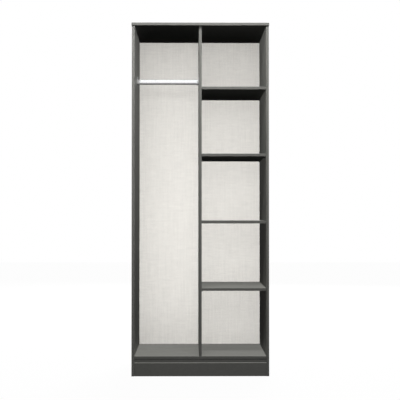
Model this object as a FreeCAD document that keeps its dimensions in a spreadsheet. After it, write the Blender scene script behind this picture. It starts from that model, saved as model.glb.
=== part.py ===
import FreeCAD, Part
import math
import os
import Sketcher
from FreeCAD import Vector

# A tall wardrobe carcass in 15 mm faced board, with a hanging bay on the left and a shelved bay on the right.
# Millimetres. X is across the front, the open front faces -Y, +Z is up, and the origin is on the floor in
# the middle of the overall box.

SIZES = [
    # carcass
    ("overall_height", 1970, "floor to the upper face of the top panel"),
    ("carcass_width", 766, "across the outsides of the side panels"),
    ("top_depth", 530, "front to back of the top panel"),
    ("top_front_overhang", 13, "top panel ahead of the side panels"),
    ("top_side_overhang", 1.5, "top panel beyond each side panel"),
    ("board", 15, "thickness of every faced board"),
    ("edge_round", 0.8, "radius on the edging of the front edges"),
    ("inner_setback", 14, "divider, shelves and bottom behind the side panels' front edges"),
    ("bottom_height", 109, "floor to the upper face of the bottom panel"),
    ("lowest_shelf", 488, "floor to the upper face of the lowest shelf"),
    ("shelf_pitch", 376, "from one shelf to the next"),
    ("shelf_end_gap", 0.75, "loose shelf to the board at each end"),
    ("shelf_back_gap", 1.5, "shelf to the back panel"),
    ("plinth_height", 74, "floor to the upper edge of the plinth face"),
    ("plinth_setback", 2, "plinth face behind the side panels' front edges"),
    # back panel
    ("back_thickness", 3, "hardboard back panel"),
    ("back_inset", 9, "back panel's rear face ahead of the side panels' rear edges"),
    ("back_low", 80, "floor to the lower edge of the back panel"),
    ("back_seam", 0.5, "between the two leaves of the back panel"),
    ("groove_depth", 6, "groove that holds the back panel"),
    ("groove_gap", 0.2, "clearance on each face of the back panel in its groove"),
    ("groove_end_gap", 0.5, "back panel's edge to the floor of its groove"),
    # corner fittings
    ("fitting_inset", 60, "cam fitting behind the front edge, and ahead of the back panel"),
    ("dowel_spacing", 32, "cam fitting to the dowel beside it"),
    ("cam_inset", 24, "cam's centre to the end of its board"),
    ("cam_radius", 7.5, "housing drilled for a cam lock"),
    ("cam_depth", 12, "depth of that housing"),
    ("cam_gap", 0.2, "cam lock to its housing"),
    ("cam_slot_length", 9, "screwdriver slot in a cam lock"),
    ("cam_slot_width", 1.6, "screwdriver slot in a cam lock"),
    ("cam_slot_depth", 2.5, "screwdriver slot in a cam lock"),
    ("cap_radius", 8.6, "cover cap over a cam lock"),
    ("cap_thickness", 0.9, "cover cap over a cam lock"),
    ("bolt_thread_radius", 2.5, "cam bolt's thread in the face of a board"),
    ("bolt_thread_length", 9, "cam bolt's thread in the face of a board"),
    ("bolt_shank_radius", 3, "cam bolt's shank"),
    ("bolt_shank_length", 17, "cam bolt's shank"),
    ("bolt_neck_radius", 1.8, "cam bolt's neck, which the cam closes on"),
    ("bolt_neck_length", 5, "cam bolt's neck"),
    ("bolt_head_radius", 3.2, "cam bolt's head"),
    ("bolt_head_length", 3, "cam bolt's head"),
    ("dowel_radius", 4, "beech dowel"),
    ("dowel_in_face", 9, "dowel's length in the face of a board"),
    ("dowel_in_end", 21, "dowel's length in the end of a board"),
    ("drill_gap", 0.1, "clearance round a fitting in its hole"),
    ("rail_fitting_height", 56, "cam fitting of a plinth rail above the floor"),
    ("rail_dowel_height", 26, "dowel of a plinth rail above the floor"),
    # screws and nails
    ("divider_screw_radius", 2.5, "thread of the screws up into the divider"),
    ("divider_screw_length", 50, "screws up into the divider, with the head"),
    ("divider_head_radius", 5, "head of those screws"),
    ("divider_head_length", 4, "head of those screws"),
    ("plinth_screw_radius", 1.75, "screws into the plinth face"),
    ("plinth_screw_length", 26, "screws into the plinth face, with the head"),
    ("plinth_head_radius", 3.5, "head of those screws"),
    ("plinth_head_length", 2, "head of those screws"),
    ("plinth_screw_spacing", 220, "between the screws along the plinth"),
    ("plinth_screw_height", 40, "screws into the plinth face above the floor"),
    ("nail_radius", 0.9, "back panel nails"),
    ("nail_length", 18, "back panel nails, without the head"),
    ("nail_head_radius", 2, "back panel nails"),
    ("nail_head_thickness", 0.8, "back panel nails"),
    ("nail_seam_offset", 3.6, "nails on each side of the back panel's seam"),
    ("nail_seam_first", 220, "lowest nail along the seam above the floor"),
    ("nail_seam_pitch", 205, "between the nails along the seam"),
    ("nail_bottom_first", 70, "first nail along the bottom panel from the middle"),
    ("nail_bottom_pitch", 92, "between the nails along the bottom panel"),
    # shelf pins
    ("pin_inset", 37, "shelf pins behind the front edge, and ahead of the back panel"),
    ("pin_radius", 2.5, "peg of a shelf pin"),
    ("pin_depth", 8, "peg of a shelf pin in its board"),
    ("pin_tongue_width", 7, "tongue that a shelf lies on"),
    ("pin_tongue_height", 2.5, "tongue that a shelf lies on"),
    ("pin_tongue_length", 9, "tongue that a shelf lies on"),
    ("pin_rib_width", 2, "rib under the tongue"),
    ("pin_rib_height", 3.5, "rib under the tongue"),
    ("pin_rib_length", 6, "rib under the tongue"),
    ("rest_gap", 0.3, "loose piece above what it lies on"),
    # hanging rail
    ("rail_height", 1678, "floor to the middle of the hanging rail"),
    ("rail_behind_front", 270, "hanging rail's middle behind the side panels' front edges"),
    ("rail_tall", 30, "oval section of the hanging rail"),
    ("rail_wide", 15, "oval section of the hanging rail"),
    ("rail_wall", 1.2, "wall of the hanging rail"),
    ("rail_end_gap", 1, "end of the hanging rail to its bracket"),
    ("bracket_plate", 3, "bracket's back plate"),
    ("bracket_cup", 9, "bracket's cup, beyond the plate"),
    ("bracket_wall", 2, "wall of the cup"),
    ("bracket_gap", 0.4, "rail to the wall of the cup"),
    ("bracket_arms", 6, "top of the cup's arms above the rail's middle"),
    ("bracket_rise", 19, "top of the bracket above the rail"),
    ("bracket_screw_rise", 10, "upper screw above the rail"),
    ("bracket_screw_drop", 4, "lower screw below the rail's middle"),
    ("bracket_screw_radius", 1.75, "screws into the board"),
    ("bracket_screw_length", 16, "screws into the board, with the head"),
    ("bracket_head_radius", 3.3, "head of those screws"),
    ("bracket_head_length", 1.4, "head of those screws"),
    ("drive_slot_width", 0.9, "screwdriver slot in a screw's head"),
    ("drive_slot_depth", 0.7, "screwdriver slot in a screw's head"),
]

# Places that several pieces share, as expressions on the sheet.
SIDE_OUTER = "Sizes.carcass_width / 2"
SIDE_INNER = "(Sizes.carcass_width / 2 - Sizes.board)"
SIDE_MIDDLE = "(Sizes.carcass_width - Sizes.board) / 2"
DIVIDER_FACE = "Sizes.board / 2"
TOP_FRONT = "(-Sizes.top_depth / 2)"
REAR = "(Sizes.top_depth / 2)"
SIDE_FRONT = f"({TOP_FRONT} + Sizes.top_front_overhang)"
INNER_FRONT = f"({SIDE_FRONT} + Sizes.inner_setback)"
BACK_REAR = f"({REAR} - Sizes.back_inset)"
BACK_FRONT = f"({BACK_REAR} - Sizes.back_thickness)"
CEILING = "(Sizes.overall_height - Sizes.board)"
BOTTOM_UNDER = "(Sizes.bottom_height - Sizes.board)"
BOTTOM_MIDDLE = "(Sizes.bottom_height - Sizes.board / 2)"
PLINTH_FRONT = f"({SIDE_FRONT} + Sizes.plinth_setback)"
PLINTH_BACK = f"({PLINTH_FRONT} + Sizes.board)"
PLINTH_RAIL_BACK = f"({PLINTH_BACK} + Sizes.board)"
BACK_RAIL_FRONT = f"({BACK_FRONT} - Sizes.board)"
FITTING_ROWS = [f"{INNER_FRONT} + Sizes.fitting_inset", f"{BACK_FRONT} - Sizes.fitting_inset"]
DOWEL_ROWS = [
    f"{INNER_FRONT} + Sizes.fitting_inset + Sizes.dowel_spacing",
    f"{BACK_FRONT} - Sizes.fitting_inset - Sizes.dowel_spacing",
]
PIN_ROWS = [f"{INNER_FRONT} + Sizes.pin_inset", f"{BACK_FRONT} - Sizes.pin_inset"]
GROOVE = (f"{BACK_FRONT} - Sizes.groove_gap", f"{BACK_REAR} + Sizes.groove_gap")
RAIL_PLACE = f"({SIDE_FRONT} + Sizes.rail_behind_front)"
RAIL_LOW = "(Sizes.rail_height - (Sizes.rail_tall - Sizes.rail_wide) / 2)"
RAIL_HIGH = "(Sizes.rail_height + (Sizes.rail_tall - Sizes.rail_wide) / 2)"

SHELF_COUNT = 4
LOOSE_SHELVES = (1, 2, 4)
SEAM_NAILS = 9
BOTTOM_NAILS = 4
PLINTH_SCREWS = 4

# The plane across each axis, and the way that plane's normal points along the axis.
ACROSS = {"X": ("YZ_Plane", 1), "Y": ("XZ_Plane", -1), "Z": ("XY_Plane", 1)}

doc = FreeCAD.newDocument("Wardrobe")
pieces = []


def make_sheet():
    sheet = doc.addObject("Spreadsheet::Sheet", "Sizes")
    for row, (alias, number, meaning) in enumerate(SIZES, start=1):
        sheet.set(f"A{row}", meaning)
        sheet.set(f"B{row}", str(number))
        sheet.setAlias(f"B{row}", alias)
    doc.recompute()
    return sheet


sheet = make_sheet()


def value(expression):
    """The number that an expression has now."""
    found = sheet.evalExpression(expression)
    return float(getattr(found, "Value", found))


# Outlines: each returns a function that draws it on a sketch, at its place and bound to the sheet.


def bind(sketch, constraint, expression):
    index = sketch.addConstraint(constraint)
    sketch.setExpression(f"Constraints[{index}]", expression)


def hold_point(sketch, geometry, point, across, up):
    """Holds one point of a sketch at two expressions from its origin."""
    bind(sketch, Sketcher.Constraint("DistanceX", -1, 1, geometry, point, value(across)), across)
    bind(sketch, Sketcher.Constraint("DistanceY", -1, 1, geometry, point, value(up)), up)


def rectangles(corners):
    """Upright rectangles, each from a low corner to a high one."""

    def draw(sketch):
        for low, high in corners:
            left, down = value(low[0]), value(low[1])
            right, up = value(high[0]), value(high[1])
            around = [Vector(left, down), Vector(right, down), Vector(right, up), Vector(left, up)]
            first = sketch.GeometryCount
            for index in range(4):
                sketch.addGeometry(Part.LineSegment(around[index], around[(index + 1) % 4]))
            for index in range(4):
                following = first + (index + 1) % 4
                sketch.addConstraint(Sketcher.Constraint("Coincident", first + index, 2, following, 1))
                level = "Horizontal" if index % 2 == 0 else "Vertical"
                sketch.addConstraint(Sketcher.Constraint(level, first + index))
            hold_point(sketch, first, 1, *low)
            hold_point(sketch, first + 2, 1, *high)

    return draw


def centred_rectangles(centres, width, height):
    """Equal upright rectangles about a list of centres."""
    return rectangles([
        (
            (f"{across} - {width} / 2", f"{up} - {height} / 2"),
            (f"{across} + {width} / 2", f"{up} + {height} / 2"),
        )
        for across, up in centres
    ])


def circles(centres, radius):
    """Equal circles about a list of centres."""

    def draw(sketch):
        first = sketch.GeometryCount
        for across, up in centres:
            centre = Vector(value(across), value(up))
            index = sketch.addGeometry(Part.Circle(centre, Vector(0, 0, 1), value(radius)))
            hold_point(sketch, index, 3, across, up)
            if index == first:
                bind(sketch, Sketcher.Constraint("Radius", index, value(radius)), radius)
            else:
                sketch.addConstraint(Sketcher.Constraint("Equal", first, index))

    return draw


def stadiums(centre_pairs, radius):
    """Upright ovals with straight sides, each from a lower arc's centre to an upper one's."""

    def draw(sketch):
        for across, low, high in centre_pairs:
            middle, down, up, reach = value(across), value(low), value(high), value(radius)
            first = sketch.GeometryCount
            normal = Vector(0, 0, 1)
            upper_circle = Part.Circle(Vector(middle, up), normal, reach)
            lower_circle = Part.Circle(Vector(middle, down), normal, reach)
            sketch.addGeometry(Part.ArcOfCircle(upper_circle, 0, math.pi))
            sketch.addGeometry(Part.LineSegment(Vector(middle - reach, up), Vector(middle - reach, down)))
            sketch.addGeometry(Part.ArcOfCircle(lower_circle, math.pi, 2 * math.pi))
            sketch.addGeometry(Part.LineSegment(Vector(middle + reach, down), Vector(middle + reach, up)))
            for index in range(4):
                following = first + (index + 1) % 4
                sketch.addConstraint(Sketcher.Constraint("Tangent", first + index, 2, following, 1))
            hold_point(sketch, first, 3, across, high)
            hold_point(sketch, first + 2, 3, across, low)
            bind(sketch, Sketcher.Constraint("Radius", first, reach), radius)

    return draw


# Features: `towards` is +1 or -1 along the axis, from the place where the sketch lies.


def extrude(piece, kind, axis, place, towards, length, outline):
    role, normal = ACROSS[axis]
    plane = next(item for item in piece.Origin.OriginFeatures if item.Role == role)
    sketch = piece.newObject("Sketcher::SketchObject", piece.Name + "_outline")
    sketch.AttachmentSupport = [(plane, "")]
    sketch.MapMode = "FlatFace"
    sketch.setExpression("AttachmentOffset.Base.z", f"{normal} * ({place})")
    outline(sketch)
    feature = piece.newObject("PartDesign::" + kind, piece.Name + "_" + kind.lower())
    feature.Profile = sketch
    feature.setExpression("Length", length)
    outwards = towards == normal
    feature.Reversed = outwards if kind == "Pocket" else not outwards
    volume_before = 0 if piece.Shape.isNull() else piece.Shape.Volume
    doc.recompute()
    change = piece.Shape.Volume - volume_before
    if (change > 0) != (kind == "Pad"):
        raise ValueError(f"{feature.Name} changed {piece.Label} by {change:.3f} mm3")


def add(piece, axis, place, towards, length, outline):
    extrude(piece, "Pad", axis, place, towards, length, outline)


def cut(piece, axis, place, towards, length, outline):
    extrude(piece, "Pocket", axis, place, towards, length, outline)


def drill(piece, axis, place, towards, depth, radius, centres):
    """Holes a little larger than the fitting of that radius."""
    cut(piece, axis, place, towards, depth, circles(centres, f"{radius} + Sizes.drill_gap"))


def new_piece(label):
    piece = doc.addObject("PartDesign::Body", label)
    piece.Label = label
    piece.AllowCompound = True
    pieces.append(piece)
    return piece


def round_edges(piece, outsides):
    """Rounds the edges on a board's outsides.

    Each outside is an axis, its limit along that axis, and the length that its edges have to be over.
    """
    base = piece.Tip
    names = []
    for number, edge in enumerate(base.Shape.Edges, start=1):
        ends = [vertex.Point for vertex in edge.Vertexes]
        for axis, limit, shortest in outsides:
            lies_there = all(abs(getattr(end, axis) - limit) < 0.001 for end in ends)
            if lies_there and edge.Length > shortest and f"Edge{number}" not in names:
                names.append(f"Edge{number}")
    rounding = piece.newObject("PartDesign::Fillet", piece.Name + "_rounding")
    rounding.Base = (base, names)
    rounding.setExpression("Radius", "Sizes.edge_round")
    doc.recompute()


def minus(expression):
    return f"(-({expression}))"


def times(sign, expression):
    return f"({sign} * ({expression}))"


def board(label, x, y, z, rounded=True):
    """A faced board between two places on each axis, with the edging of its front rounded."""
    piece = new_piece(label)
    add(piece, "Z", z[0], 1, f"({z[1]}) - ({z[0]})", rectangles([((x[0], y[0]), (x[1], y[1]))]))
    if rounded:
        round_edges(piece, [("y", piece.Shape.BoundBox.YMin, 2 * value("Sizes.board"))])
    return piece


# Boards and shelves


def make_top_panel():
    reach = "Sizes.carcass_width / 2 + Sizes.top_side_overhang"
    height = (CEILING, "Sizes.overall_height")
    top = board("top_panel", (minus(reach), reach), (TOP_FRONT, REAR), height, rounded=False)
    box = top.Shape.BoundBox
    long = 2 * value("Sizes.board")
    round_edges(top, [("y", box.YMin, 0), ("x", box.XMin, long), ("x", box.XMax, long)])
    groove_end = f"({SIDE_INNER} + Sizes.groove_depth)"
    groove = rectangles([((minus(groove_end), GROOVE[0]), (groove_end, GROOVE[1]))])
    cut(top, "Z", CEILING, 1, "Sizes.groove_depth", groove)
    return top


def make_side_panel(label, side):
    """A side panel; `side` is -1 on the left and 1 on the right."""
    faces = [times(side, SIDE_INNER), times(side, SIDE_OUTER)]
    panel = board(label, faces[::side], (SIDE_FRONT, REAR), ("0", CEILING))
    groove = rectangles([((GROOVE[0], "-Sizes.board"), (GROOVE[1], "Sizes.overall_height"))])
    cut(panel, "X", times(side, SIDE_INNER), side, "Sizes.groove_depth", groove)
    return panel


def shelf_top(number):
    """The upper face of a shelf, counted from 1 at the top to 4 at the bottom."""
    return f"(Sizes.lowest_shelf + {SHELF_COUNT - number} * Sizes.shelf_pitch)"


def shelf_under(number):
    return f"({shelf_top(number)} - Sizes.board)"


def make_shelf(number):
    loose = number in LOOSE_SHELVES
    gap = "Sizes.shelf_end_gap" if loose else "0"
    width = (f"{DIVIDER_FACE} + {gap}", f"{SIDE_INNER} - {gap}")
    depth = (INNER_FRONT, f"{BACK_FRONT} - Sizes.shelf_back_gap")
    return board(f"shelf_{number}", width, depth, (shelf_under(number), shelf_top(number)))


def make_back_leaf(label, side):
    """One leaf of the back panel, from the seam behind the divider into the groove of a side panel."""
    leaf = new_piece(label)
    seam = times(side, "Sizes.back_seam / 2")
    outer = times(side, f"{SIDE_INNER} + Sizes.groove_depth - Sizes.groove_end_gap")
    high = f"{CEILING} + Sizes.groove_depth - Sizes.groove_end_gap"
    low_corner, high_corner = (seam, "Sizes.back_low"), (outer, high)
    if side < 0:
        low_corner, high_corner = (outer, "Sizes.back_low"), (seam, high)
    add(leaf, "Y", BACK_REAR, -1, "Sizes.back_thickness", rectangles([(low_corner, high_corner)]))
    return leaf


# Fittings


def join(ended, faced, axis, face, into, bolts, dowels, cam_axis, cam_face, cam_into, cams, capped=False):
    """Cam fittings and dowels that hold the end of one board to the face of another.

    The boards meet at `face` on `axis`, and `into` points into the board that meets it with its end.
    `bolts` and `dowels` are places on that plane, and `cams` are places on the cam housings' own face.
    """
    drill(ended, axis, face, into, "Sizes.cam_inset", "Sizes.bolt_head_radius", bolts)
    drill(ended, axis, face, into, "Sizes.dowel_in_end + Sizes.drill_gap", "Sizes.dowel_radius", dowels)
    cut(ended, cam_axis, cam_face, cam_into, "Sizes.cam_depth", circles(cams, "Sizes.cam_radius"))
    bolt_depth = "Sizes.bolt_thread_length + Sizes.drill_gap"
    drill(faced, axis, face, -into, bolt_depth, "Sizes.bolt_thread_radius", bolts)
    drill(faced, axis, face, -into, "Sizes.dowel_in_face + Sizes.drill_gap", "Sizes.dowel_radius", dowels)

    place = f"({face}) - {into} * Sizes.bolt_thread_length"
    for stretch in ("thread", "shank", "neck", "head"):
        length = f"Sizes.bolt_{stretch}_length"
        add(cam_bolts, axis, place, into, length, circles(bolts, f"Sizes.bolt_{stretch}_radius"))
        place = f"({place}) + {into} * {length}"

    lock_depth = "Sizes.cam_depth - Sizes.cam_gap"
    housings = circles(cams, "Sizes.cam_radius - Sizes.cam_gap")
    add(cam_locks, cam_axis, cam_face, cam_into, lock_depth, housings)
    bolt_reach = "Sizes.bolt_shank_length + Sizes.bolt_neck_length + Sizes.bolt_head_length + Sizes.rest_gap"
    drill(cam_locks, axis, face, into, bolt_reach, "Sizes.bolt_head_radius", bolts)
    slots = centred_rectangles(cams, "Sizes.cam_slot_length", "Sizes.cam_slot_width")
    cut(cam_locks, cam_axis, cam_face, cam_into, "Sizes.cam_slot_depth", slots)
    if capped:
        discs = circles(cams, "Sizes.cap_radius")
        add(cam_caps, cam_axis, cam_face, -cam_into, "Sizes.cap_thickness", discs)

    dowel_length = "Sizes.dowel_in_face + Sizes.dowel_in_end"
    dowel_start = f"({face}) - {into} * Sizes.dowel_in_face"
    add(wood_dowels, axis, dowel_start, into, dowel_length, circles(dowels, "Sizes.dowel_radius"))


def drive_screws(screws, family, axis, head_face, towards, centres, through):
    """Screws with their heads level with a face, driven through one piece after another."""
    shank_radius = f"Sizes.{family}_screw_radius"
    head_radius = f"Sizes.{family}_head_radius"
    head_length = f"Sizes.{family}_head_length"
    length = f"Sizes.{family}_screw_length"
    drill(through[0], axis, head_face, towards, f"{head_length} + Sizes.drill_gap", head_radius, centres)
    for piece in through:
        drill(piece, axis, head_face, towards, f"{length} + Sizes.drill_gap", shank_radius, centres)
    add(screws, axis, head_face, towards, head_length, circles(centres, head_radius))
    add(screws, axis, head_face, towards, length, circles(centres, shank_radius))
    slots = centred_rectangles(centres, f"1.4 * {head_radius}", "Sizes.drive_slot_width")
    cut(screws, axis, head_face, towards, "Sizes.drive_slot_depth", slots)


def drive_nails(centres, through):
    """Nails through the back panel, with their heads on its rear face."""
    for piece in through:
        drill(piece, "Y", BACK_REAR, -1, "Sizes.nail_length + Sizes.drill_gap", "Sizes.nail_radius", centres)
    add(back_nails, "Y", BACK_REAR, -1, "Sizes.nail_length", circles(centres, "Sizes.nail_radius"))
    heads = circles(centres, "Sizes.nail_head_radius")
    add(back_nails, "Y", BACK_REAR, 1, "Sizes.nail_head_thickness", heads)


def fit_shelf_pins(panel, face, into):
    """Pins for the loose shelves in one board: a peg, a tongue under the shelf, and a rib under that."""
    tops = [f"({shelf_under(number)} - Sizes.rest_gap)" for number in LOOSE_SHELVES]
    places = [(row, top) for top in tops for row in PIN_ROWS]
    pegs = [(row, f"{top} - Sizes.pin_radius") for row, top in places]
    half_tongue = "Sizes.pin_tongue_width / 2"
    half_rib = "Sizes.pin_rib_width / 2"
    tongue_under = "Sizes.pin_tongue_height"
    rib_under = "Sizes.pin_tongue_height - Sizes.pin_rib_height"
    tongues = [
        ((f"{row} - {half_tongue}", f"{top} - {tongue_under}"), (f"{row} + {half_tongue}", top))
        for row, top in places
    ]
    ribs = [
        ((f"{row} - {half_rib}", f"{top} - {rib_under}"), (f"{row} + {half_rib}", f"{top} - {tongue_under}"))
        for row, top in places
    ]
    drill(panel, "X", face, into, "Sizes.pin_depth + Sizes.drill_gap", "Sizes.pin_radius", pegs)
    add(shelf_pins, "X", face, into, "Sizes.pin_depth", circles(pegs, "Sizes.pin_radius"))
    add(shelf_pins, "X", face, -into, "Sizes.pin_tongue_length", rectangles(tongues))
    add(shelf_pins, "X", face, -into, "Sizes.pin_rib_length", rectangles(ribs))


def make_bracket(label, panel, face, outwards):
    """A rail bracket on the face of a board: a plate with a screw tab, and a cup that is open above."""
    bracket = new_piece(label)
    outer_radius = "(Sizes.rail_wide / 2 + Sizes.bracket_gap + Sizes.bracket_wall)"
    inner_radius = "Sizes.rail_wide / 2 + Sizes.bracket_gap"
    tab_top = "(Sizes.rail_height + Sizes.rail_tall / 2 + Sizes.bracket_rise)"
    plate_face = f"({face}) + {outwards} * Sizes.bracket_plate"
    outline = stadiums([(RAIL_PLACE, RAIL_LOW, f"{tab_top} - {outer_radius}")], outer_radius)
    add(bracket, "X", face, outwards, "Sizes.bracket_plate + Sizes.bracket_cup", outline)
    above_arms = rectangles([(
        (f"{RAIL_PLACE} - Sizes.rail_wide", "Sizes.rail_height + Sizes.bracket_arms"),
        (f"{RAIL_PLACE} + Sizes.rail_wide", f"{tab_top} + Sizes.rail_wide"),
    )])
    cut(bracket, "X", plate_face, outwards, "Sizes.bracket_cup", above_arms)
    channel = stadiums([(RAIL_PLACE, RAIL_LOW, tab_top)], inner_radius)
    cut(bracket, "X", plate_face, outwards, "Sizes.bracket_cup", channel)
    screws = [
        (RAIL_PLACE, "Sizes.rail_height + Sizes.rail_tall / 2 + Sizes.bracket_screw_rise"),
        (RAIL_PLACE, "Sizes.rail_height - Sizes.bracket_screw_drop"),
    ]
    drive_screws(bracket_screws, "bracket", "X", plate_face, -outwards, screws, [bracket, panel])


def make_rail():
    rail = new_piece("hanging_rail")
    end_room = "(Sizes.bracket_plate + Sizes.rail_end_gap)"
    left = f"({minus(SIDE_INNER)} + {end_room})"
    right = f"({minus(DIVIDER_FACE)} - {end_room})"
    outer = stadiums([(RAIL_PLACE, RAIL_LOW, RAIL_HIGH)], "Sizes.rail_wide / 2")
    inner = stadiums([(RAIL_PLACE, RAIL_LOW, RAIL_HIGH)], "Sizes.rail_wide / 2 - Sizes.rail_wall")

    def section(sketch):
        outer(sketch)
        inner(sketch)

    add(rail, "X", left, 1, f"{right} - {left}", section)


# Assembly: the boards

top_panel = make_top_panel()
sides = {-1: make_side_panel("left_side_panel", -1), 1: make_side_panel("right_side_panel", 1)}
divider = board(
    "centre_divider",
    (minus(DIVIDER_FACE), DIVIDER_FACE),
    (INNER_FRONT, BACK_FRONT),
    ("Sizes.bottom_height", CEILING),
)
inside = (minus(SIDE_INNER), SIDE_INNER)
bottom_rise = (BOTTOM_UNDER, "Sizes.bottom_height")
bottom_panel = board("bottom_panel", inside, (INNER_FRONT, BACK_FRONT), bottom_rise)
plinth_front = board("plinth_front", inside, (PLINTH_FRONT, PLINTH_BACK), ("0", "Sizes.plinth_height"))
rail_rise = ("0", BOTTOM_UNDER)
plinth_rail = board("plinth_rail", inside, (PLINTH_BACK, PLINTH_RAIL_BACK), rail_rise, rounded=False)
back_rail = board("plinth_back_rail", inside, (BACK_RAIL_FRONT, BACK_FRONT), rail_rise, rounded=False)
shelves = {number: make_shelf(number) for number in range(1, SHELF_COUNT + 1)}
leaves = {-1: make_back_leaf("back_panel_left", -1), 1: make_back_leaf("back_panel_right", 1)}

# Assembly: cam fittings and dowels

cam_bolts = new_piece("cam_bolts")
cam_locks = new_piece("cam_locks")
cam_caps = new_piece("cam_caps")
wood_dowels = new_piece("wood_dowels")

for side, panel in sides.items():
    middle = times(side, SIDE_MIDDLE)
    inner_face = times(side, SIDE_INNER)
    cam_place = times(side, f"{SIDE_INNER} - Sizes.cam_inset")
    join(
        panel, top_panel, "Z", CEILING, -1,
        bolts=[(middle, row) for row in FITTING_ROWS],
        dowels=[(middle, row) for row in DOWEL_ROWS],
        cam_axis="X", cam_face=inner_face, cam_into=side,
        cams=[(row, f"{CEILING} - Sizes.cam_inset") for row in FITTING_ROWS],
        capped=True,
    )
    join(
        bottom_panel, panel, "X", inner_face, -side,
        bolts=[(row, BOTTOM_MIDDLE) for row in FITTING_ROWS],
        dowels=[(row, BOTTOM_MIDDLE) for row in DOWEL_ROWS],
        cam_axis="Z", cam_face=BOTTOM_UNDER, cam_into=1,
        cams=[(cam_place, row) for row in FITTING_ROWS],
    )
    for rail, front, cam_face, cam_into in (
        (plinth_rail, PLINTH_BACK, PLINTH_RAIL_BACK, -1),
        (back_rail, BACK_RAIL_FRONT, BACK_RAIL_FRONT, 1),
    ):
        rail_middle = f"{front} + Sizes.board / 2"
        join(
            rail, panel, "X", inner_face, -side,
            bolts=[(rail_middle, "Sizes.rail_fitting_height")],
            dowels=[(rail_middle, "Sizes.rail_dowel_height")],
            cam_axis="Y", cam_face=cam_face, cam_into=cam_into,
            cams=[(cam_place, "Sizes.rail_fitting_height")],
        )

join(
    divider, top_panel, "Z", CEILING, -1,
    bolts=[("0", row) for row in FITTING_ROWS],
    dowels=[("0", row) for row in DOWEL_ROWS],
    cam_axis="X", cam_face=DIVIDER_FACE, cam_into=-1,
    cams=[(row, f"{CEILING} - Sizes.cam_inset") for row in FITTING_ROWS],
    capped=True,
)

fixed_shelves = [number for number in shelves if number not in LOOSE_SHELVES]
for number in fixed_shelves:
    shelf_middle = f"{shelf_under(number)} + Sizes.board / 2"
    for panel, face, into, cam_place in (
        (divider, DIVIDER_FACE, 1, f"{DIVIDER_FACE} + Sizes.cam_inset"),
        (sides[1], SIDE_INNER, -1, f"{SIDE_INNER} - Sizes.cam_inset"),
    ):
        join(
            shelves[number], panel, "X", face, into,
            bolts=[(row, shelf_middle) for row in FITTING_ROWS],
            dowels=[(row, shelf_middle) for row in DOWEL_ROWS],
            cam_axis="Z", cam_face=shelf_under(number), cam_into=1,
            cams=[(cam_place, row) for row in FITTING_ROWS],
            capped=True,
        )

# Assembly: screws, nails and shelf pins

divider_screws = new_piece("divider_screws")
divider_places = [("0", row) for row in FITTING_ROWS]
drive_screws(divider_screws, "divider", "Z", BOTTOM_UNDER, 1, divider_places, [bottom_panel, divider])

plinth_screws = new_piece("plinth_screws")
plinth_places = [
    (f"{step - (PLINTH_SCREWS - 1) / 2} * Sizes.plinth_screw_spacing", "Sizes.plinth_screw_height")
    for step in range(PLINTH_SCREWS)
]
drive_screws(plinth_screws, "plinth", "Y", PLINTH_RAIL_BACK, -1, plinth_places, [plinth_rail, plinth_front])

back_nails = new_piece("back_panel_nails")
for side, leaf in leaves.items():
    seam_nails = [
        (times(side, "Sizes.nail_seam_offset"), f"Sizes.nail_seam_first + {step} * Sizes.nail_seam_pitch")
        for step in range(SEAM_NAILS)
    ]
    drive_nails(seam_nails, [leaf, divider])
    bottom_nails = [
        (times(side, f"Sizes.nail_bottom_first + {step} * Sizes.nail_bottom_pitch"), BOTTOM_MIDDLE)
        for step in range(BOTTOM_NAILS)
    ]
    drive_nails(bottom_nails, [leaf, bottom_panel])

shelf_pins = new_piece("shelf_pins")
fit_shelf_pins(divider, DIVIDER_FACE, -1)
fit_shelf_pins(sides[1], SIDE_INNER, 1)

# Assembly: hanging rail

bracket_screws = new_piece("rail_bracket_screws")
make_bracket("rail_bracket_left", sides[-1], minus(SIDE_INNER), 1)
make_bracket("rail_bracket_right", divider, minus(DIVIDER_FACE), -1)
make_rail()

# Checks and files

doc.recompute()
for item in doc.Objects:
    if "Invalid" in item.State or "Error" in item.State:
        raise ValueError(f"{item.Label} is {item.State}")
for piece in pieces:
    if piece.Shape.isNull() or not piece.Shape.isValid():
        raise ValueError(f"{piece.Label} has no valid shape")

os.makedirs("parts", exist_ok=True)
for piece in pieces:
    piece.Shape.exportStep(f"parts/{piece.Label}.step")
    box = piece.Shape.BoundBox
    print(
        f"{piece.Label}: {len(piece.Shape.Solids)} solids, {piece.Shape.Volume / 1000:.1f} cm3,",
        f"x {box.XMin:.2f} {box.XMax:.2f}, y {box.YMin:.2f} {box.YMax:.2f}, z {box.ZMin:.2f} {box.ZMax:.2f}",
    )
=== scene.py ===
import math

import bpy
from mathutils import Euler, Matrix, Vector


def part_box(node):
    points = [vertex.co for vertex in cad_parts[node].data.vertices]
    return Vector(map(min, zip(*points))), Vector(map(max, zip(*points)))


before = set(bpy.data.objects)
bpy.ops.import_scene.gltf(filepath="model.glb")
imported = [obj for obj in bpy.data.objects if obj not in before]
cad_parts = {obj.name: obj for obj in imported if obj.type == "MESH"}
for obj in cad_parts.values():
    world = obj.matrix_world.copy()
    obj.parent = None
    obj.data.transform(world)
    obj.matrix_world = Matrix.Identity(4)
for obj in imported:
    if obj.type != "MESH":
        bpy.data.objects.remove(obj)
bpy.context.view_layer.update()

MM = 0.001
EDGING = 1.0            # mm, thickness of the strip on a board's front edge
THREAD_PITCH = 1.4      # mm, the woven-look facing
SCREEN_PITCH = 1.8      # mm, the wire print on the hardboard's rear
RAIL_CROWN = 70.0       # mm, radius of the crown on the rail's flat sides

# Where a raw edge's finish starts and where it is whole: first how far the normal leans to the
# axis, then how many millimetres inwards.
LEANS = 0.6
FACES = 0.8
RAW_STARTS = 0.5
RAW_WHOLE = 0.2

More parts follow.
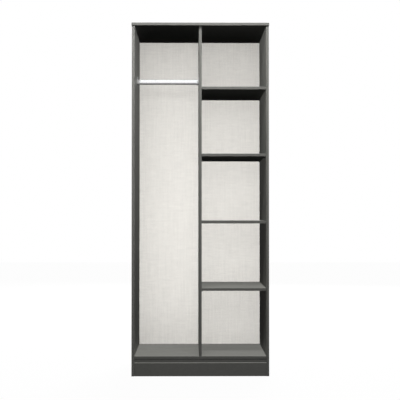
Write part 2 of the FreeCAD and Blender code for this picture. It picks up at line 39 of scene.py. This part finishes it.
LOOSE_SHELVES = ("shelf_1", "shelf_2", "shelf_4")
PLINTH = ("plinth_front", "plinth_rail", "plinth_back_rail")
BOARDS = (
    "top_panel",
    "left_side_panel",
    "right_side_panel",
    "centre_divider",
    "bottom_panel",
    *PLINTH,
    "shelf_3",
    *LOOSE_SHELVES,
)
BACKS = ("back_panel_left", "back_panel_right")
BRACKETS = ("rail_bracket_left", "rail_bracket_right")
RAIL = ("hanging_rail", *BRACKETS)
STEEL_FITTINGS = (
    "rail_bracket_screws",
    "cam_bolts",
    "divider_screws",
    "plinth_screws",
    "back_panel_nails",
)

# Colours, linear.
GRAPHITE = (0.0455, 0.0455, 0.042)
GRAPHITE_EDGING = (0.0475, 0.0475, 0.044)
RUBBED = (0.16, 0.16, 0.155)
LINEN = (0.875, 0.851, 0.802)
LINEN_FIBRE = (0.62, 0.57, 0.48)
HARDBOARD = (0.17, 0.098, 0.052)
CHIP_PALE = (0.56, 0.42, 0.26)
CHIP_DARK = (0.22, 0.14, 0.075)
CHROME = (0.93, 0.935, 0.94)
ZINC = (0.56, 0.565, 0.575)
BLACK_STEEL = (0.022, 0.022, 0.024)
WORN_STEEL = (0.12, 0.12, 0.125)
BEECH = (0.60, 0.40, 0.22)
FLOOR_PAINT = (0.06, 0.06, 0.06)
WHITE = (1.0, 1.0, 1.0)


class Finish:
    """One material's nodes, with short calls for the kinds that the finishes share.

    Patterns are laid out in millimetres on the object's own axes.
    """

    def __init__(self, name):
        self.material = bpy.data.materials.new(name)
        self.material.use_nodes = True
        self.tree = self.material.node_tree
        self.tree.nodes.clear()
        coordinates = self.tree.nodes.new("ShaderNodeTexCoord")
        self.normal = coordinates.outputs["Normal"]
        self.place = self.vector("MULTIPLY", coordinates.outputs["Object"], (1 / MM, 1 / MM, 1 / MM))

    def put(self, socket, value):
        """Links a socket, or sets it; a colour may leave out its alpha."""
        if isinstance(value, bpy.types.NodeSocket):
            self.tree.links.new(value, socket)
        elif socket.type == "RGBA":
            socket.default_value = (*value, 1.0)
        else:
            socket.default_value = value

    def math(self, operation, *values):
        node = self.tree.nodes.new("ShaderNodeMath")
        node.operation = operation
        for socket, value in zip(node.inputs, values):
            self.put(socket, value)
        return node.outputs[0]

    def product(self, *values):
        """The values multiplied together."""
        total = values[0]
        for value in values[1:]:
            total = self.math("MULTIPLY", total, value)
        return total

    def rest(self, value):
        """What is left of 1."""
        return self.math("SUBTRACT", 1.0, value)

    def vector(self, operation, *values):
        node = self.tree.nodes.new("ShaderNodeVectorMath")
        node.operation = operation
        for socket, value in zip(node.inputs, values):
            self.put(socket, value)
        return node.outputs[0]

    def parts(self, vector):
        """A vector's x, y and z."""
        node = self.tree.nodes.new("ShaderNodeSeparateXYZ")
        self.put(node.inputs[0], vector)
        return node.outputs[0], node.outputs[1], node.outputs[2]

    def shade(self, colour, *factors):
        """A colour made lighter or darker by each factor."""
        for factor in factors:
            node = self.tree.nodes.new("ShaderNodeVectorMath")
            node.operation = "SCALE"
            self.put(node.inputs[0], colour)
            self.put(node.inputs["Scale"], factor)
            colour = node.outputs[0]
        return colour

    def noise(self, per_mm, detail=2.0, roughness=0.5):
        """Noise from 0 to 1.

        `per_mm` is its features per millimetre, the same all ways or along each axis.
        """
        scales = per_mm if isinstance(per_mm, tuple) else (per_mm, per_mm, per_mm)
        node = self.tree.nodes.new("ShaderNodeTexNoise")
        self.put(node.inputs["Vector"], self.vector("MULTIPLY", self.place, scales))
        node.inputs["Scale"].default_value = 1.0
        node.inputs["Detail"].default_value = detail
        node.inputs["Roughness"].default_value = roughness
        return node.outputs["Fac"]

    def cells(self, per_mm, feature, output):
        """One output of a pattern of cells; `per_mm` is its cells per millimetre along each axis."""
        node = self.tree.nodes.new("ShaderNodeTexVoronoi")
        node.feature = feature
        self.put(node.inputs["Vector"], self.vector("MULTIPLY", self.place, per_mm))
        node.inputs["Scale"].default_value = 1.0
        return node.outputs[output]

    def ramp(self, value, start, end, low=0.0, high=1.0, smooth=False):
        """`low` up to the start and `high` from the end on; the start may be the larger of the two."""
        node = self.tree.nodes.new("ShaderNodeMapRange")
        node.interpolation_type = "SMOOTHSTEP" if smooth else "LINEAR"
        self.put(node.inputs["Value"], value)
        rising = start < end
        node.inputs["From Min"].default_value = start if rising else end
        node.inputs["From Max"].default_value = end if rising else start
        node.inputs["To Min"].default_value = low if rising else high
        node.inputs["To Max"].default_value = high if rising else low
        return node.outputs["Result"]

    def spread(self, value, low, high):
        """A value that runs from 0 to 1, drawn out to run from low to high."""
        return self.ramp(value, 0.0, 1.0, low, high)

    def step(self, value, start, end):
        """A smooth rise from 0 at the start to 1 at the end."""
        return self.ramp(value, start, end, smooth=True)

    def mix(self, factor, first, second):
        node = self.tree.nodes.new("ShaderNodeMix")
        node.data_type = "RGBA"
        colours = [socket for socket in node.inputs if socket.type == "RGBA"]
        self.put(node.inputs["Factor"], factor)
        self.put(colours[0], first)
        self.put(colours[1], second)
        return next(socket for socket in node.outputs if socket.type == "RGBA")

    def bump(self, height_mm, under=None):
        """Relief from a height in millimetres, over another relief if one is given."""
        node = self.tree.nodes.new("ShaderNodeBump")
        node.inputs["Distance"].default_value = MM
        self.put(node.inputs["Height"], height_mm)
        if under is not None:
            self.put(node.inputs["Normal"], under)
        return node.outputs["Normal"]

    def surface(self, colour, roughness, normal, metallic=0.0, specular=0.5):
        """The whole material. What is the same all over is a plain number on the shader."""
        shader = self.tree.nodes.new("ShaderNodeBsdfPrincipled")
        self.put(shader.inputs["Base Color"], colour)
        self.put(shader.inputs["Roughness"], roughness)
        self.put(shader.inputs["Normal"], normal)
        shader.inputs["Metallic"].default_value = metallic
        shader.inputs["Specular IOR Level"].default_value = specular
        output = self.tree.nodes.new("ShaderNodeOutputMaterial")
        self.tree.links.new(shader.outputs[0], output.inputs["Surface"])
        return self.material


def set_finish(nodes, material):
    """Gives CAD nodes a material in place of their own."""
    for node in nodes:
        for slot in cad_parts[node].material_slots:
            slot.material = material


# Faced board


def box_gaps(finish, low, high):
    """Millimetres inwards from each pair of a box's faces, as x, y and z."""
    gaps = []
    for value, first, last in zip(finish.parts(finish.place), low, high):
        from_first = finish.math("SUBTRACT", value, first / MM)
        from_last = finish.math("SUBTRACT", last / MM, value)
        gaps.append(finish.math("MINIMUM", from_first, from_last))
    return gaps


def edge_distance(finish, low, high):
    """Millimetres from a point on a board's surface to its nearest edge.

    One of the three gaps is nothing there, and the middle one is the way to the edge.
    """
    x, y, z = box_gaps(finish, low, high)
    smaller = finish.math("MINIMUM", x, y)
    larger = finish.math("MAXIMUM", x, y)
    return finish.math("MAXIMUM", smaller, finish.math("MINIMUM", larger, z))


def chipboard(finish):
    """Raw chipboard: chips of several tones with dark gaps between, as a colour and a height."""
    chips_per_mm = (0.22, 0.5, 0.34)
    tone = finish.parts(finish.cells(chips_per_mm, "F1", "Color"))[0]
    solid = finish.step(finish.cells(chips_per_mm, "DISTANCE_TO_EDGE", "Distance"), 0.0, 0.12)
    dust = finish.noise(2.2, detail=4.0, roughness=0.7)
    colour = finish.mix(tone, CHIP_PALE, CHIP_DARK)
    colour = finish.shade(colour, finish.spread(dust, 0.7, 1.3), finish.spread(solid, 0.45, 1.0))
    height = finish.math("ADD", finish.product(tone, 0.2), finish.product(solid, 0.15))
    return colour, height


def raw_edges(finish, node, low, high):
    """1 where a board is left raw: its rear edge, its foot on the floor, and a loose shelf's ends.

    The plinth's boards have no raw rear edge, because their rear is a face.
    """
    nx, ny, nz = finish.parts(finish.normal)
    _, y, z = finish.parts(finish.place)
    stands_on_floor = low.z < MM
    raw = 0.0
    if node not in PLINTH:
        rear = finish.step(y, high.y / MM - RAW_STARTS, high.y / MM - RAW_WHOLE)
        raw = finish.product(finish.step(ny, LEANS, FACES), rear)
    if stands_on_floor:
        foot = finish.product(finish.step(nz, -LEANS, -FACES), finish.step(z, RAW_STARTS, RAW_WHOLE))
        raw = finish.math("MAXIMUM", raw, foot)
    if node in LOOSE_SHELVES:
        end = finish.step(finish.math("ABSOLUTE", nx), LEANS, FACES)
        raw = finish.math("MAXIMUM", raw, end)
    return raw


def faced_board(node):
    """Graphite melamine on the faces, edging on the front, and raw chipboard where no edging goes."""
    low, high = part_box(node)
    finish = Finish(node + "_board")
    behind_front = finish.math("SUBTRACT", finish.parts(finish.place)[1], low.y / MM)

    cloud = finish.noise(0.004, detail=3.0)
    mottle = finish.noise(0.035, detail=4.0, roughness=0.6)
    pearl = finish.noise(0.9, detail=3.0, roughness=0.6)
    face = finish.shade(
        GRAPHITE,
        finish.spread(cloud, 0.95, 1.05),
        finish.spread(mottle, 0.90, 1.10),
        finish.spread(pearl, 0.78, 1.22),
    )

    # A hairline of glue shows where the edging meets the facing.
    on_edging = finish.step(behind_front, EDGING + 0.15, EDGING - 0.05)
    from_edging = finish.step(behind_front, EDGING - 0.2, EDGING)
    from_facing = finish.step(behind_front, EDGING + 0.3, EDGING + 0.1)
    hairline = finish.product(from_edging, from_facing)
    drawn = finish.noise((0.06, 1.5, 0.06), detail=3.0)
    edging = finish.shade(
        GRAPHITE_EDGING,
        finish.spread(drawn, 0.88, 1.12),
        finish.spread(mottle, 0.92, 1.08),
    )
    colour = finish.mix(on_edging, face, edging)
    colour = finish.shade(colour, finish.spread(hairline, 1.0, 0.5))

    # Handling has paled the sharp edges in places.
    at_edge = finish.step(edge_distance(finish, low, high), 0.7, 0.1)
    in_places = finish.step(mottle, 0.56, 0.70)
    colour = finish.mix(finish.product(at_edge, in_places, 0.35), colour, RUBBED)

    raw = raw_edges(finish, node, low, high)
    chip_colour, chip_height = chipboard(finish)
    colour = finish.mix(raw, colour, chip_colour)

    smudges = finish.noise(0.011, detail=4.0, roughness=0.6)
    roughness = finish.spread(smudges, 0.44, 0.60)
    roughness = finish.math("ADD", roughness, finish.product(on_edging, -0.06))
    roughness = finish.math("ADD", roughness, finish.product(raw, 0.3))

    relief = finish.math("SUBTRACT", finish.product(pearl, 0.03), finish.product(hairline, 0.05))
    normal = finish.bump(finish.product(relief, finish.rest(raw)))
    normal = finish.bump(finish.product(chip_height, raw), under=normal)
    return finish.surface(colour, roughness, normal, specular=0.35)


# Back panel


def thread(finish, across, pitch):
    """The round of one set of threads, from 0 between two of them to 1 on the crown."""
    return finish.math("ABSOLUTE", finish.math("SINE", finish.product(across, math.pi / pitch)))


def weave(finish):
    """A plain weave: its height from 0 to 1, and 1 where the upright threads are on top."""
    x, _, z = finish.parts(finish.place)
    column = finish.math("FLOOR", finish.math("DIVIDE", x, THREAD_PITCH))
    row = finish.math("FLOOR", finish.math("DIVIDE", z, THREAD_PITCH))
    upright_over = finish.math("PINGPONG", finish.math("ADD", column, row), 1.0)
    uprights = finish.product(thread(finish, x, THREAD_PITCH), upright_over)
    levels = finish.product(thread(finish, z, THREAD_PITCH), finish.rest(upright_over))
    return finish.math("ADD", uprights, levels), upright_over


def linen(finish):
    """The woven-look facing, as a colour and a height in millimetres."""
    cloth, upright_over = weave(finish)
    # Slubs are thick stretches of single threads, and they gather into faint bars both ways.
    upright_slubs = finish.noise((0.7, 0.0, 0.012), detail=2.0)
    level_slubs = finish.noise((0.012, 0.0, 0.7), detail=2.0)
    slubs = finish.math(
        "ADD",
        finish.product(upright_slubs, upright_over),
        finish.product(level_slubs, finish.rest(upright_over)),
    )
    upright_bars = finish.noise((0.10, 0.0, 0.004), detail=3.0, roughness=0.65)
    level_bars = finish.noise((0.012, 0.0, 0.11), detail=3.0, roughness=0.65)
    patches = finish.noise((0.03, 0.0, 0.03), detail=3.0, roughness=0.6)
    colour = finish.shade(
        LINEN,
        finish.spread(cloth, 0.88, 1.06),
        finish.spread(slubs, 0.86, 1.14),
        finish.spread(upright_bars, 0.90, 1.10),
        finish.spread(level_bars, 0.91, 1.09),
        finish.spread(patches, 0.96, 1.04),
    )
    fibres = finish.step(finish.noise((1.2, 0.0, 0.10), detail=1.0), 0.68, 0.76)
    colour = finish.mix(finish.product(fibres, 0.4), colour, LINEN_FIBRE)
    height = finish.math("ADD", finish.product(cloth, 0.10), finish.product(slubs, 0.08))
    return colour, height


def bare_hardboard(finish):
    """Brown fibre with the print of a wire screen, as a colour and a height in millimetres."""
    x, _, z = finish.parts(finish.place)
    screen = finish.product(thread(finish, x, SCREEN_PITCH), thread(finish, z, SCREEN_PITCH))
    fibres = finish.noise((0.25, 0.0, 0.9), detail=5.0, roughness=0.7)
    clouds = finish.noise(0.006, detail=3.0)
    stains = finish.noise(0.03, detail=4.0, roughness=0.65)
    colour = finish.shade(
        HARDBOARD,
        finish.spread(screen, 0.78, 1.14),
        finish.spread(fibres, 0.6, 1.4),
        finish.spread(clouds, 0.8, 1.2),
        finish.spread(stains, 0.88, 1.12),
    )
    height = finish.math("ADD", finish.product(screen, 0.12), finish.product(fibres, 0.08))
    return colour, height


def faced_hardboard():
    """Woven-look facing on the front, bare fibre everywhere else."""
    finish = Finish("faced_hardboard")
    front = finish.step(finish.parts(finish.normal)[1], -0.5, -0.7)
    cloth_colour, cloth_height = linen(finish)
    bare_colour, bare_height = bare_hardboard(finish)
    colour = finish.mix(front, bare_colour, cloth_colour)
    height = finish.math(
        "ADD",
        finish.product(cloth_height, front),
        finish.product(bare_height, finish.rest(front)),
    )
    roughness = finish.spread(front, 0.75, 0.88)
    return finish.surface(colour, roughness, finish.bump(height), specular=0.1)


# Metal, plastic and beech


def rail_chrome():
    """Bright plating on an oval tube, whose flat sides are rolled a little crowned."""
    low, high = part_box("hanging_rail")
    middle = (low.z + high.z) / 2
    finish = Finish("rail_chrome")
    # A round falls away from its crown by the distance squared over twice its radius.
    above_middle = finish.math("SUBTRACT", finish.parts(finish.place)[2], middle / MM)
    crown = finish.math("DIVIDE", finish.math("POWER", above_middle, 2.0), -2 * RAIL_CROWN)
    drawn = finish.noise((0.01, 2.5, 2.5), detail=3.0)
    haze = finish.noise((0.01, 0.05, 0.05), detail=3.0)
    rubs = finish.step(finish.noise((0.25, 0.02, 0.02), detail=4.0), 0.58, 0.68)
    tint = finish.shade(CHROME, finish.spread(haze, 0.96, 1.03), finish.spread(rubs, 1.0, 0.96))
    roughness = finish.math("ADD", finish.spread(drawn, 0.07, 0.13), finish.product(rubs, 0.06))
    normal = finish.bump(finish.math("ADD", crown, finish.product(drawn, 0.002)))
    return finish.surface(tint, roughness, normal, metallic=0.85)


def plating(name, tint, low_roughness, high_roughness, metallic=1.0):
    """Zinc or nickel plating: slightly cloudy, with fine scratches all ways."""
    finish = Finish(name)
    clouds = finish.noise(0.12, detail=3.0)
    scratches = finish.math("MAXIMUM", finish.noise((4.0, 0.4, 0.4)), finish.noise((0.4, 0.4, 4.0)))
    colour = finish.shade(tint, finish.spread(clouds, 0.88, 1.08), finish.spread(scratches, 0.94, 1.04))
    roughness = finish.spread(clouds, low_roughness, high_roughness)
    normal = finish.bump(finish.product(scratches, 0.01))
    return finish.surface(colour, roughness, normal, metallic=metallic)


def cast_zinc():
    """The raw, grainy metal of the cam locks."""
    finish = Finish("cast_zinc")
    grains = finish.noise(3.0, detail=4.0, roughness=0.7)
    colour = finish.shade(ZINC, finish.spread(grains, 0.8, 1.1))
    normal = finish.bump(finish.product(grains, 0.05))
    return finish.surface(colour, finish.spread(grains, 0.35, 0.55), normal, metallic=1.0)


def black_steel():
    """A black finish that is worn through to the steel in places."""
    finish = Finish("black_steel")
    grains = finish.noise(4.0, detail=3.0)
    worn = finish.step(finish.noise(0.8, detail=3.0), 0.60, 0.72)
    colour = finish.mix(finish.product(worn, 0.4), BLACK_STEEL, WORN_STEEL)
    normal = finish.bump(finish.product(grains, 0.02))
    return finish.surface(colour, finish.spread(grains, 0.38, 0.52), normal)


def cap_plastic():
    """Fine-grained plastic in the colour of the boards."""
    finish = Finish("cap_plastic")
    grain = finish.noise(2.5, detail=3.0)
    colour = finish.shade(GRAPHITE_EDGING, finish.spread(grain, 0.85, 1.15))
    normal = finish.bump(finish.product(grain, 0.04))
    return finish.surface(colour, finish.spread(grain, 0.42, 0.52), normal, specular=0.35)


def beech():
    """Bare turned wood, with its grain and pores drawn out upright."""
    finish = Finish("beech")
    grain = finish.noise((1.5, 1.5, 0.15), detail=4.0)
    pores = finish.step(finish.noise((6.0, 6.0, 0.8)), 0.58, 0.66)
    colour = finish.shade(BEECH, finish.spread(grain, 0.8, 1.2), finish.spread(pores, 1.0, 0.7))
    return finish.surface(colour, 0.6, finish.bump(finish.product(grain, 0.05)), specular=0.3)


def finish_nodes():
    for node in BOARDS:
        set_finish([node], faced_board(node))
    set_finish(BACKS, faced_hardboard())
    set_finish(["hanging_rail"], rail_chrome())
    nickel = plating("bracket_nickel", CHROME, 0.16, 0.26, metallic=0.8)
    set_finish(BRACKETS, nickel)
    steel = plating("zinc_plated_steel", ZINC, 0.28, 0.42)
    set_finish(STEEL_FITTINGS, steel)
    set_finish(["cam_locks"], cast_zinc())
    set_finish(["cam_caps"], cap_plastic())
    set_finish(["shelf_pins"], black_steel())
    set_finish(["wood_dowels"], beech())


# Stage, lights and camera


def make_floor():
    """A pale floor that the camera sees as nearly white, and that throws no light up at the wardrobe."""
    finish = Finish("floor_paint")
    mottle = finish.noise(0.004, detail=3.0)
    colour = finish.shade(FLOOR_PAINT, finish.spread(mottle, 0.99, 1.01))
    material = finish.surface(colour, 0.9, finish.bump(finish.product(mottle, 0.02)), specular=0.0)
    shader = next(node for node in finish.tree.nodes if node.type == "BSDF_PRINCIPLED")
    shader.inputs["Emission Color"].default_value = (*WHITE, 1.0)
    shader.inputs["Emission Strength"].default_value = 0.98

    reach = 12.0
    corners = [(-reach, -reach, 0), (reach, -reach, 0), (reach, reach, 0), (-reach, reach, 0)]
    mesh = bpy.data.meshes.new("floor")
    mesh.from_pydata(corners, [], [(0, 1, 2, 3)])
    mesh.materials.append(material)
    floor = bpy.data.objects.new("floor", mesh)
    floor.visible_diffuse = False
    floor.visible_glossy = False
    bpy.context.scene.collection.objects.link(floor)


def make_world():
    """White to the camera, and to a gloss a studio of several levels."""
    above = 1.2
    below = 0.32
    ahead = 1.0
    behind = 0.03

    world = bpy.data.worlds.new("studio")
    bpy.context.scene.world = world
    world.use_nodes = True
    tree = world.node_tree
    tree.nodes.clear()
    rays = tree.nodes.new("ShaderNodeLightPath")
    direction = tree.nodes.new("ShaderNodeTexCoord")
    parts = tree.nodes.new("ShaderNodeSeparateXYZ")
    tree.links.new(direction.outputs["Generated"], parts.inputs[0])

    def from_direction(axis, start, end, low, high):
        """A level that runs from low to high as a ray's direction turns along an axis."""
        node = tree.nodes.new("ShaderNodeMapRange")
        node.inputs["From Min"].default_value = start
        node.inputs["From Max"].default_value = end
        node.inputs["To Min"].default_value = low
        node.inputs["To Max"].default_value = high
        tree.links.new(parts.outputs[axis], node.inputs["Value"])
        return node.outputs["Result"]

    def combined(operation, first, second):
        node = tree.nodes.new("ShaderNodeMath")
        node.operation = operation
        tree.links.new(first, node.inputs[0])
        tree.links.new(second, node.inputs[1])
        return node.outputs[0]

    by_height = from_direction("Z", -0.04, 0.04, below, above)
    by_depth = from_direction("Y", -0.1, 0.5, ahead, behind)
    studio = combined("MULTIPLY", by_height, by_depth)
    in_gloss = combined("MULTIPLY", studio, rays.outputs["Is Glossy Ray"])
    level = combined("ADD", in_gloss, rays.outputs["Is Camera Ray"])

    background = tree.nodes.new("ShaderNodeBackground")
    background.inputs["Color"].default_value = (*WHITE, 1.0)
    tree.links.new(level, background.inputs["Strength"])
    output = tree.nodes.new("ShaderNodeOutputWorld")
    tree.links.new(background.outputs[0], output.inputs["Surface"])

    # The back is pale and the top is dark: neither shows in the sheen of the boards and the rail.
    for node in (*BACKS, "top_panel"):
        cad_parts[node].visible_glossy = False


def add_light(
    name,
    kind,
    energy,
    place=(0.0, 0.0, 4.0),
    target=(0.0, 0.0, 1.0),
    shadows=True,
    glossy=False,
):
    """A light that points at its target. The camera doesn't see it, and a gloss does only if asked."""
    light = bpy.data.lights.new(name, kind)
    light.energy = energy
    light.use_shadow = shadows
    holder = bpy.data.objects.new(name, light)
    holder.location = place
    holder.rotation_euler = (Vector(target) - Vector(place)).to_track_quat("-Z", "Y").to_euler()
    holder.visible_camera = False
    holder.visible_glossy = glossy
    bpy.context.scene.collection.objects.link(holder)
    return holder


def softbox(name, watts, place, width, height, **options):
    holder = add_light(name, "AREA", watts, place, **options)
    holder.data.shape = "RECTANGLE"
    holder.data.size = width
    holder.data.size_y = height
    return holder


def group(name, nodes):
    collection = bpy.data.collections.new(name)
    for node in nodes:
        collection.objects.link(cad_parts[node])
    return collection


def all_but(name, left_out):
    return group(name, [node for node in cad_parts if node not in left_out])


def light_only(receivers, holder):
    """Lets a light fall on one group of pieces alone."""
    holder.light_linking.receiver_collection = receivers
    return holder


def light_back(back):
    """Upright strips, whose light fades towards the back's edges, and light from above and below."""
    strip_x = 0.015
    strip_z = 0.95
    for name, watts, ahead, height in (("near_strip", 4.8, 0.9, 1.9), ("far_strip", 18, 1.3, 2.2)):
        strip = softbox(
            name,
            watts,
            place=(strip_x, -ahead, strip_z),
            width=0.1,
            height=height,
            target=(strip_x, 0.0, strip_z),
            shadows=False,
        )
        light_only(back, strip)
    light_only(back, softbox("back_high", 34, place=(-0.3, -5.5, 2.6), width=2.4, height=1.2))

    # This one is under the floor, so the floor is left out of what blocks its light.
    low = light_only(back, softbox("back_low", 16, place=(-0.3, -4.5, -1.2), width=2.4, height=1.6))
    low.light_linking.blocker_collection = group("above_the_floor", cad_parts)


def light_boards(boards, wardrobe):
    """An even fill, a sun, and a light near the top of the front, so the front edges pale upwards."""
    front = softbox("front_fill", 86, place=(-0.3, -5.5, 2.6), width=2.4, height=1.2, shadows=False)
    light_only(boards, front)
    edge = softbox(
        "edge_light",
        117,
        place=(0.0, -1.5, 2.6),
        width=1.2,
        height=0.3,
        target=(0.0, -0.2, 1.2),
    )
    light_only(boards, edge)
    overhead = light_only(wardrobe, add_light("overhead", "SUN", 11.8, shadows=False))
    overhead.data.angle = math.radians(5)


def light_inner_faces():
    """The faces inside the bays. The divider's pair is behind its front edge, which it leaves unlit."""
    for panel, watts, place, face_x in (
        ("left_side_panel", 56, (1.1, -0.75, 2.0), -0.37),
        ("right_side_panel", 19, (-0.5, -0.4, 2.1), 0.37),
        ("centre_divider", 11, (-0.7, -0.24, 2.0), 0.0),
        ("centre_divider", 11, (0.7, -0.24, 2.0), 0.0),
    ):
        inner = softbox(
            "inner_face",
            watts,
            place,
            width=0.4,
            height=0.4,
            target=(face_x, -0.1, 1.2),
            shadows=False,
        )
        light_only(group("faces_of_" + panel, [panel]), inner)


def light_outside(wardrobe):
    """The outer sides and the rear."""
    for side in (-1, 1):
        place = (side * 4.5, 0.7, 1.9)
        light_only(wardrobe, softbox("side", 220, place, width=2.0, height=2.0, glossy=True))
    softbox("rear", 300, place=(1.0, 5.6, 3.0), width=3.0, height=2.0)


def make_lights():
    """Lights without shadows for the even light, and with shadows for the shade under each board."""
    back = group("back", BACKS)
    wardrobe = all_but("all_but_the_back", BACKS)
    boards = all_but("all_but_the_back_and_rail", (*BACKS, *RAIL))
    light_back(back)
    light_boards(boards, wardrobe)
    light_inner_faces()
    light_outside(wardrobe)

    # The fill stands for the light that the faces would throw on each other.
    bpy.context.scene.cycles.diffuse_bounces = 0


def make_camera():
    """A little left of the middle and under half height, turned slightly up and to the right."""
    tilt_up = 0.0176
    turn_right = 0.0096
    data = bpy.data.cameras.new("camera")
    data.lens = 80.92
    data.sensor_width = 36.0
    data.clip_end = 60.0
    camera = bpy.data.objects.new("camera", data)
    camera.location = (-0.0502, -5.2635, 0.8917)
    camera.rotation_euler = Euler((math.pi / 2 + tilt_up, 0.0, -turn_right))
    bpy.context.scene.collection.objects.link(camera)
    bpy.context.scene.camera = camera


finish_nodes()
make_floor()
make_world()
make_lights()
make_camera()
bpy.context.scene.view_settings.view_transform = "Standard"
